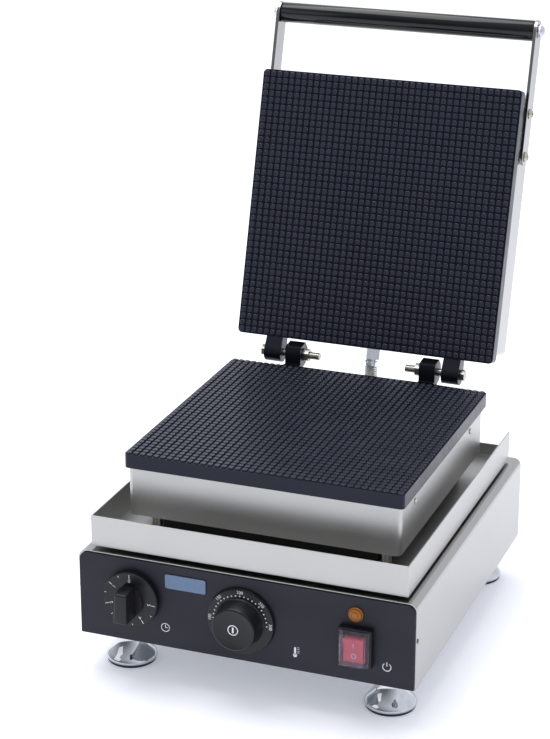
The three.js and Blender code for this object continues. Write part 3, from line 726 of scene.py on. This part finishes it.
def cross_head(radius, height):
    """A pan head, standing on z = 0 and pointing up. Its cross recess is not cut: cross_mark lays
    painted shade in its place.
    """
    dome = [(radius * math.cos(a), height * math.sin(a)) for a in (0.0, 0.35, 0.7, 1.05, 1.3)]
    return lathe([(0, -1.0), (radius * 0.6, -1.0), (radius * 0.6, 0), *dome, (0, height)], 32)


def cross_mark(radius, height):
    """The dark cross of a screw head, laid on its crown: painted shade that stands for the cross recess.
    """
    arm, half = radius * 0.5, radius * 0.12
    tip = [(half, half), (half, arm), (-half, arm)]
    outline = []
    for _ in range(4):
        outline += tip
        tip = [(-y, x) for x, y in tip]
    return prism(outline, height - 0.25, height + 0.05)


# ---- pieces: handle ----


def grip_mesh():
    """A glossy tube with eased ends, open for the rod."""
    half, radius = GRIP["half"], GRIP["radius"]
    ends = [(4.3, half), (radius - 1.6, half), (radius - 0.5, half - 0.5), (radius, half - 1.6)]
    profile = [*((r, -x) for r, x in ends), (radius, 0), *reversed(ends)]
    return moved(lathe([*profile, profile[0]]), towards("x", 0, GRIP["y"], GRIP["z"]))


def cap_nut_mesh(side):
    """A domed nut on the rod's end: a hexagon skirt under a smooth cap."""
    dome = [(5.4 * math.cos(a), 1.8 + 3.3 * math.sin(a)) for a in (0.0, 0.3, 0.6, 0.9, 1.2, 1.4)]
    cap = lathe([(0, 1.0), (5.4, 1.0), *dome, (0, 5.1)], 40)
    skirt = bevelled(prism(arc(0, 0, 6.6, 0, 300, 5), 0.05, 2.4), 0.4, 2)
    axis = "x" if side > 0 else "-x"
    where = towards(axis, side * (ARM_OUTER + 0.3), GRIP["y"], GRIP["z"])
    return moved(united(cap, skirt, washer(4.2, 6.5, -0.05, 0.5, 40)), where)


# ---- pieces: feet and posts ----


def foot_mesh():
    """A plated bell foot: a rolled rim, a waisted flank and a plain neck."""
    rim = [(0, 2.85), (21.2, 2.85), (22.1, 3.1), (22.5, 3.8), (22.5, 4.7), (22.2, 5.8), (21.4, 7.1)]
    flank = [(20.0, 8.7), (18.1, 10.7), (16.1, 13.3), (14.2, 16.4), (12.7, 20.0), (11.7, 24.4)]
    neck = [(11.1, 30.0), (10.9, 36.0), (4, 36.2), (4, 50), (0, 50)]
    return lathe([*rim, *flank, *neck], 72)


def pad_mesh():
    return lathe([(0, 0), (20.4, 0), (21.2, 0.5), (21.5, 1.2), (21.5, 2.0), (21.1, 2.5), (0, 2.5)], 64)


# ---- pieces: controls ----


def glyph(text, size):
    """Generic lettering, such as a dial's number, as a thin plate centred on the origin."""
    curve = bpy.data.curves.new("glyph", "FONT")
    curve.body = text
    curve.size = size * MM
    curve.align_x = curve.align_y = "CENTER"
    curve.extrude = INK / 2 * MM
    mesh = loosened(linked("glyph", curve))
    bmesh.ops.remove_doubles(mesh, verts=mesh.verts, dist=1e-7)
    bmesh.ops.recalc_face_normals(mesh, faces=mesh.faces)
    return moved(mesh, TO_MM)


def on_dial(mesh, angle, radius):
    """Puts a flat mark at a clock angle in degrees from the top, with its head outwards."""
    turn = Matrix.Rotation(math.radians(-angle), 4, "Z")
    return moved(mesh, turn @ Matrix.Translation((0, radius, 0)))


def on_panel(mesh, centre, proud):
    """Stands a flat mesh up against the panel, proud millimetres in front of its face."""
    return moved(mesh, towards("-y", centre[0], -proud, centre[2]))


def dial_positions(angles, radius):
    points, turns = [], []
    for angle in angles:
        a = math.radians(angle)
        points.append((radius * math.sin(a), radius * math.cos(a), 0))
        turns.append((0, 0, -a))
    return points, turns


def timer_knob_mesh():
    """Skirt, boss and a grip bar whose sides are drafted and whose front edges are rounded."""
    flank = [(3.4, 1), (24.6, 1), (25, 1.4), (25, 6.2), (24.3, 7), (13.2, 7), (12.3, 9.6), (3.4, 9.6)]
    bar = prism([(-6.6, -14), (6.6, -14), (5.7, 14), (-5.7, 14)], 6.5, 26.9)
    for vert in bar.verts:
        if vert.co.z > 20:
            vert.co.x *= 0.92
            vert.co.y *= 0.97
    return united(lathe([*flank, flank[0]], 96), bevelled(bar, 1.3, 4))


def thermostat_knob_mesh():
    """Flat printed skirt, and a tapered drum with a dished face."""
    skirt = [(3.4, 1), (29.6, 1), (30, 1.6), (29.4, 3.6), (28.6, 4), (21.4, 4), (20.8, 4.6)]
    drum = [(20.4, 6), (19.3, 18.6), (18.8, 19.9), (17.8, 20.5), (16.8, 20.4), (16.0, 20.0), (0, 19.9)]
    return lathe([(0, -0.2), (3.4, -0.2), *skirt, *drum], 120)


def timer_marks():
    """White ticks for each minute and half minute, and the minutes' numbers."""
    step = 53  # degrees for one minute
    longs, long_turns = dial_positions([-step * n for n in range(6)], 21.8)
    shorts, short_turns = dial_positions([-step * (n + 0.5) for n in range(5)], 22.6)
    marks = [
        repeated(slab(-0.27, 0.27, -1.7, 1.7, DIAL_INK), longs, "ink", long_turns),
        repeated(slab(-0.25, 0.25, -0.8, 0.8, DIAL_INK), shorts, "ink", short_turns),
    ]
    marks += [on_dial(glyph(str(n), 4.4), -step * n, 17.6) for n in range(6)]
    return united(*marks)


def thermostat_marks():
    """White dots round the upper half, one at the bottom, and numbers every 50 degrees."""
    spots, turns = dial_positions([9 * n - 90 for n in range(21)] + [180], 23.9)
    marks = [repeated(disc(0.62, 0, DIAL_INK, 12), spots, "ink", turns)]
    marks += [on_dial(glyph(str(100 + 50 * n), 3.9), 45 * n - 90, 27) for n in range(5)]
    return united(*marks)


def face_ring():
    """The ring and bar on the drum's face."""
    return united(washer(3.9, 4.7, 0, DIAL_INK, 48), prism(rounded(0.8, 2.6, 0.7), 0, DIAL_INK))


def clock_sign():
    """A clock face: the timer's sign."""
    hands = slab(-0.3, 0.3, -0.3, 2.7, INK), slab(0.3, 2.1, -0.3, 0.3, INK)
    return united(washer(3.4, 4.0, 0, INK, 40), *hands)


def thermometer_sign():
    """A bulb thermometer with a scale beside it: the thermostat's sign."""
    stem = prism(rounded(0.9, 3.6, 0.85), 0, INK)
    bulb = moved(disc(1.8, 0, INK, 32), Matrix.Translation((0, -3.9, 0)))
    line = slab(-0.9, 0.9, -0.2, 0.2, INK)
    lines = repeated(line, [(2.9, 1.6 * n - 1.4, 0) for n in range(4)], "ink")
    return united(stem, bulb, lines)


def power_sign():
    """A broken ring with a bar: the usual sign for on and standby."""
    outline = arc(0, 0, 3.9, 125, 415, 28) + arc(0, 0, 3.2, 415, 125, 28)
    return united(prism(outline, 0, INK), slab(-0.35, 0.35, 0.6, 4.4, INK))


def switch_signs():
    """The bar and ring of on and off, on the rocker's two faces."""
    slope = math.atan2(2.0, 10.2)
    upper = Matrix.Translation((0, 5.2, 7.95)) @ Matrix.Rotation(slope, 4, "X")
    lower = Matrix.Translation((0, -5.2, 7.95)) @ Matrix.Rotation(-slope, 4, "X")
    bar, ring = slab(-0.45, 0.45, -2.2, 2.2, INK), washer(1.5, 2.3, 0, INK, 32)
    return united(moved(bar, upper), moved(ring, lower))


def lamp_mesh():
    """A round lens with a stepped flange and a low dome cut by a ring."""
    flange = [(0, 0.35), (6.3, 0.35), (6.5, 0.6), (6.5, 1.3), (6.2, 1.8), (5.3, 1.9), (5.1, 2.8)]
    dome = [(4.3, 3.5), (3.4, 3.7), (3.1, 3.4), (2.6, 3.4), (2.3, 3.9), (1.2, 4.2), (0, 4.25)]
    return lathe([*flange, *dome], 48)


def lamp_seat(outer, inner, height):
    """A thin dark ring in a step of the lens: painted shade in the step."""
    return washer(inner, outer, height - 0.4, height, 48)


# ---- pieces: hinge bolts and conduit ----


def bolt_threads(side):
    """The threaded end of a hinge bolt, which stands past its nut."""
    start, end = side * BOLT["thread_from"], side * BOLT["thread_to"]
    line = [(x, BOLT["y"], BOLT["z"]) for x in (start, (start + end) / 2, end)]
    return ringed(line, 1.1, 3.45, 0.45, "zinc")


def ferrule_mesh():
    """The short smooth sleeve that holds the conduit's end below the lid's fitting."""
    bead = [(6.4, 0.2), (7.0, 0.4), (7.1, 1.0), (7.1, 1.8), (6.7, 2.2)]
    where = Matrix.Translation((0, CONDUIT["lid_y"], CONDUIT["lid_z"]))
    turn = Matrix.Rotation(-math.pi / 2, 4, "X")
    return moved(lathe([*bead, (6.7, 4.8), (6.4, 5.2), bead[0]], 40), where @ turn)


def open_point(y, z):
    """Where a point of the closed lid's middle plane lies on the open machine."""
    return tuple(DESIGN.inverted() @ OPEN_LID @ DESIGN @ Vector((0, y, z)))


def conduit_route():
    """The conduit's line, from the lid's fitting to the one in the rear wall."""
    start = CONDUIT["lid_y"] + 0.3
    rear = (DESIGN.inverted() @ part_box("conduit_base_fitting")[1]).y + 0.3
    bow = [(333, 160), (343, 135), (355, 117), (362, 102), (362, 90), (355, CONDUIT["base_z"] + 4)]
    ends = [(rear + 4, CONDUIT["base_z"]), (rear, CONDUIT["base_z"])]
    first = [open_point(y, CONDUIT["lid_z"]) for y in (start, start + 6)]
    return [*first, *((0, y, z) for y, z in bow + ends)]


# ---- operators ----


class ConeMakerOperator:
    """What every operator here shares: it can be undone, and it runs make."""

    bl_options = {"REGISTER", "UNDO"}

    def execute(self, context):
        self.make(context.scene)
        return {"FINISHED"}


class CONE_OT_plates(ConeMakerOperator, bpy.types.Operator):
    """Make the two cooking plates and their raised squares"""

    bl_idname = "cone.plates"
    bl_label = "Cooking plates"

    def make(self, scene):
        for node, body in (("lower_plate", "base"), ("upper_plate", "lid")):
            plate_body(node, body)
            grid_squares(f"{node}_squares", body)


class CONE_OT_sheet(ConeMakerOperator, bpy.types.Operator):
    """Make the folded sheet pieces: housing, tray, casings and shroud"""

    bl_idname = "cone.sheet"
    bl_label = "Sheet metal"

    def make(self, scene):
        soft_copy("body_housing", "stainless", 0.35)
        soft_copy("drip_tray", "mill_stainless_painted_light", 0.3)
        soft_copy("lower_casing", "mill_stainless_painted_light", 0.3)
        soft_copy("upper_casing", "stainless", 0.3, "lid")
        soft_copy("base_plate", "galvanised", 0.2)
        # Near-black shroud: partly painted shade under the casing.
        soft_copy("wiring_shroud", "black_sheet", 0.3)
        soft_copy("control_panel", "film", 0.25)
        soft_copy("blank_name_plate", "blank", 0.2)
        finish_piece("casing_side_screws", casing_screws(), "zinc", "base")


class CONE_OT_handle(ConeMakerOperator, bpy.types.Operator):
    """Make the handle: two arms, their screws, the rod, its nuts and the grip"""

    bl_idname = "cone.handle"
    bl_label = "Handle"

    def make(self, scene):
        finish_piece("grip_tube", grip_mesh(), "grip", "lid", ["handle_grip"])
        for side, word in SIDES:
            soft_copy(f"handle_arm_{word}", "stainless", 0.4, "lid", 3)
            nut = f"handle_cap_nut_{word}"
            finish_piece(f"{nut}_domed", cap_nut_mesh(side), "chrome", "lid", [nut])
            turns = [(0, side * math.pi / 2, 0)] * 2
            points = [(side * (ARM_OUTER + 0.3), y, GRIP["z"]) for y in ARM_SCREWS]
            heads = repeated(cross_head(4.8, 2.6), points, "zinc", turns)
            nodes = [f"arm_screw_{end}_{word}" for end in ("front", "rear")]
            finish_piece(f"arm_screw_heads_{word}", heads, "zinc", "lid", nodes)
            # The crosses are dark nylon on the crowns: painted shade for the recesses.
            crosses = repeated(cross_mark(4.8, 2.5), points, "nylon", turns)
            finish_piece(f"arm_screw_recesses_{word}", crosses, "nylon", "lid")
        soft_copy("handle_rod", "zinc", 0, "lid")


class CONE_OT_feet(ConeMakerOperator, bpy.types.Operator):
    """Make the bell feet, their rubber pads and the casing's posts"""

    bl_idname = "cone.feet"
    bl_label = "Feet and posts"

    def make(self, scene):
        feet, posts = corners_places("foot"), corners_places("casing_post")
        post = disc(4.5, 118.4, 133.6, 32)
        for name, template, places, finish, slot, kind in (
            ("bell_feet", foot_mesh(), feet, "chrome", "polished_chrome", "foot"),
            ("feet_pads", pad_mesh(), feet, "rubber", "pad_rubber", "foot_pad"),
            ("casing_posts", post, posts, "zinc", "zinc_hardware", "casing_post"),
        ):
            nodes = [f"{kind}_{corner}" for corner in CORNERS]
            finish_piece(name, repeated(template, places, finish), finish, "base", nodes)


class CONE_OT_dials(ConeMakerOperator, bpy.types.Operator):
    """Make the timer and thermostat knobs and their printed marks"""

    bl_idname = "cone.dials"
    bl_label = "Dials"

    def make(self, scene):
        tilt = Matrix.Rotation(math.radians(-2.4), 4, "Z")
        drum = thermostat_knob_mesh()
        for name, mesh, place, proud, finish, nodes in (
            ("timer_dial_knob", moved(timer_knob_mesh(), tilt), TIMER, 0, "knob", ["timer_knob"]),
            ("timer_dial_marks", timer_marks(), TIMER, 7.02, "ink", ()),
            ("thermostat_dial_knob", drum, THERMOSTAT, 0, "knob", ["thermostat_knob"]),
            ("thermostat_dial_marks", thermostat_marks(), THERMOSTAT, 4.02, "ink", ()),
            ("thermostat_face_ring", face_ring(), THERMOSTAT, 19.95, "ink", ()),
        ):
            body = name.split("_")[0] + "_dial"
            finish_piece(name, on_panel(mesh, place, proud), finish, body, nodes)


class CONE_OT_switch(ConeMakerOperator, bpy.types.Operator):
    """Make the rocker switch, its clear cover, the pilot lamp and the panel's signs"""

    bl_idname = "cone.switch"
    bl_label = "Switch and lamp"

    def make(self, scene):
        soft_copy("switch_body", "nylon", 0.6, segments=3)
        soft_copy("switch_rocker", "red", 0.5, "power_rocker", 3)
        soft_copy("switch_splash_cover", "clear", 0.9, segments=4)
        soft_copy("pilot_lamp_body", "nylon", 0)
        tilt = Matrix.Rotation(math.radians(8), 4, "X")
        signs = moved(switch_signs(), Matrix.Translation(ROCKER_PIVOT) @ tilt @ towards("-y"))
        finish_piece("rocker_signs", signs, "ink", "power_rocker")
        lens = on_panel(lamp_mesh(), LAMP, 0)
        finish_piece("pilot_lamp_dome", lens, "amber", "base", ["pilot_lamp_lens"])
        # Dark rings in the lens's steps: painted shade.
        step_shades = on_panel(united(lamp_seat(5.75, 5.35, 1.98), lamp_seat(3.35, 3.0, 3.5)), LAMP, 0)
        finish_piece("pilot_lamp_seats", step_shades, "nylon", "base")
        signs = united(
            on_panel(clock_sign(), (-70.6, 0, 55), 0.03),
            on_panel(thermometer_sign(), (46.4, 0, 54.6), 0.03),
            on_panel(power_sign(), (126.3, 0, 54.7), 0.03),
        )
        finish_piece("panel_signs", signs, "ink", "base")


class CONE_OT_hardware(ConeMakerOperator, bpy.types.Operator):
    """Make the hinge bolts, nuts, fittings and panel screws"""

    bl_idname = "cone.hardware"
    bl_label = "Hinge and fittings"

    def make(self, scene):
        for side, word in SIDES:
            soft_copy(f"hinge_bolt_{word}", "zinc", 0.25)
            soft_copy(f"hinge_nut_{word}", "zinc", 0.5)
            threads = bolt_threads(side)
            finish_piece(f"hinge_bolt_threads_{word}", threads, "zinc", "base")
            soft_copy(f"panel_screw_{word}", "zinc", 0.2)
        soft_copy("conduit_base_fitting", "zinc", 0.4)
        soft_copy("conduit_lid_fitting", "nickel", 0.4, "lid")
        finish_piece("conduit_ferrule", ferrule_mesh(), "nickel", "lid")
        soft_copy("cable_gland", "nylon", 0.4)


class CONE_OT_conduit(ConeMakerOperator, bpy.types.Operator):
    """Make the wound conduit from the base to the open lid's fitting"""

    bl_idname = "cone.conduit"
    bl_label = "Conduit"

    def make(self, scene):
        settings = scene.cone_conduit
        route = conduit_route()
        mesh = ringed(route, settings.pitch / MM, settings.radius / MM, 0.62, "strip")
        made = mesh_object("wound_conduit", moved(mesh, DESIGN), "strip")
        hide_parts("conduit")
        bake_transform(made)


class CONE_OT_internals(ConeMakerOperator, bpy.types.Operator):
    """Give the pieces inside the casings and housing their finishes"""

    bl_idname = "cone.internals"
    bl_label = "Internals"

    def make(self, scene):
        inside = {
            "wool": ("lower_insulation", "upper_insulation"),
            "sheath": ("lower_heating_element", "upper_heating_element"),
            "galvanised": ("timer_body", "thermostat_body"),
            "zinc": ("thermostat_probe", "timer_shaft", "thermostat_shaft"),
            "steatite": ("terminal_block",),
        }
        for finish, nodes in inside.items():
            for node in nodes:
                for slot in frame["nodes"][node].material_slots:
                    slot.material = FINISHES[finish]


class CONE_OT_stage(ConeMakerOperator, bpy.types.Operator):
    """Make the pale floor, the soft lights and the camera"""

    bl_idname = "cone.stage"
    bl_label = "Stage"

    def make(self, scene):
        floor_mesh = bmesh.new()
        bmesh.ops.create_grid(floor_mesh, x_segments=1, y_segments=1, size=9)
        data = bpy.data.meshes.new("floor")
        floor_mesh.to_mesh(data)
        floor_mesh.free()
        # White acrylic lit from below: shadows stay pale.
        glow = {"Emission Color": linear("#f3f6ff"), "Emission Strength": 0.26}
        base = {"Base Color": linear("#f6f7fa"), "Roughness": 0.9}
        data.materials.append(new_material("backlit_white_acrylic", {**base, **glow}))
        floor = linked("floor", data)
        scene.world = self.surround(scene.cone_stage.daylight)
        scene.view_settings.view_transform = "Standard"
        self.add_light("overhead", (-0.5, 0.3, 2.2), 1.8, scene.cone_stage.key)
        self.add_light("left_front", (-1.9, -1.5, 1.3), 1.2, scene.cone_stage.key * 0.1)
        lens = bpy.data.cameras.new("camera")
        lens.sensor_fit = "HORIZONTAL"
        lens.lens = 144
        lens.clip_end = 50
        camera = linked("camera", lens)
        camera.location = DESIGN @ Vector((608.2, -1525.1, 914.0))
        camera.rotation_euler = (math.radians(90 - 20.58), 0, math.radians(20.81))
        scene.camera = camera

    @staticmethod
    def surround(daylight):
        """A white room, bright behind, above and to the right, that falls off to the front and left."""
        world = bpy.data.worlds.new("white surround")
        world.use_nodes = True
        tree = world.node_tree
        inputs = tree.nodes["Background"].inputs
        inputs["Color"].default_value = (*linear("#f6f8ff"), 1)
        way = {0: add_node(tree, "ShaderNodeTexCoord").outputs["Generated"], 1: (0.5, 0.8, 0.33)}
        bright_side = add_node(tree, "ShaderNodeVectorMath", way, operation="DOT_PRODUCT")
        strength = between(tree, bright_side.outputs["Value"], daylight * 0.2, daylight, -0.85, 0.2)
        tree.links.new(strength, inputs["Strength"])
        return world

    @staticmethod
    def add_light(name, place, size, power):
        """A square soft light that faces the machine."""
        data = bpy.data.lights.new(name, "AREA")
        data.shape = "SQUARE"
        data.size = size
        data.energy = power
        light = linked(name, data)
        light.location = place
        way = Vector((0, 0, 0.2)) - light.location
        light.rotation_euler = way.to_track_quat("-Z", "Y").to_euler()


OPERATORS = (
    CONE_OT_plates,
    CONE_OT_sheet,
    CONE_OT_handle,
    CONE_OT_feet,
    CONE_OT_dials,
    CONE_OT_switch,
    CONE_OT_hardware,
    CONE_OT_conduit,
    CONE_OT_internals,
    CONE_OT_stage,
)


class CONE_PT_panel(bpy.types.Panel):
    """Lists the settings and the operators in the sidebar"""

    bl_idname = "CONE_PT_panel"
    bl_label = "Waffle cone maker"
    bl_space_type = "VIEW_3D"
    bl_region_type = "UI"
    bl_category = "Cone maker"

    def draw(self, context):
        for group in SETTINGS:
            settings = getattr(context.scene, group)
            for name in settings.__annotations__:
                self.layout.prop(settings, name)
        for operator in OPERATORS:
            self.layout.operator(operator.bl_idname)


SETTINGS = {
    "cone_plates": PlateSettings,
    "cone_conduit": ConduitSettings,
    "cone_finishes": FinishSettings,
    "cone_stage": StageSettings,
}


def register():
    for name, group in SETTINGS.items():
        bpy.utils.register_class(group)
        setattr(bpy.types.Scene, name, PointerProperty(type=group))
    for cls in (*OPERATORS, CONE_PT_panel):
        bpy.utils.register_class(cls)


def unregister():
    for cls in reversed((*OPERATORS, CONE_PT_panel)):
        bpy.utils.unregister_class(cls)
    for name, group in reversed(SETTINGS.items()):
        delattr(bpy.types.Scene, name)
        bpy.utils.unregister_class(group)


def main():
    register()
    FINISHES.update(make_finishes())
    for operator in OPERATORS:
        family, name = operator.bl_idname.split(".")
        getattr(getattr(bpy.ops, family), name)()


if __name__ == "__main__":
    main()
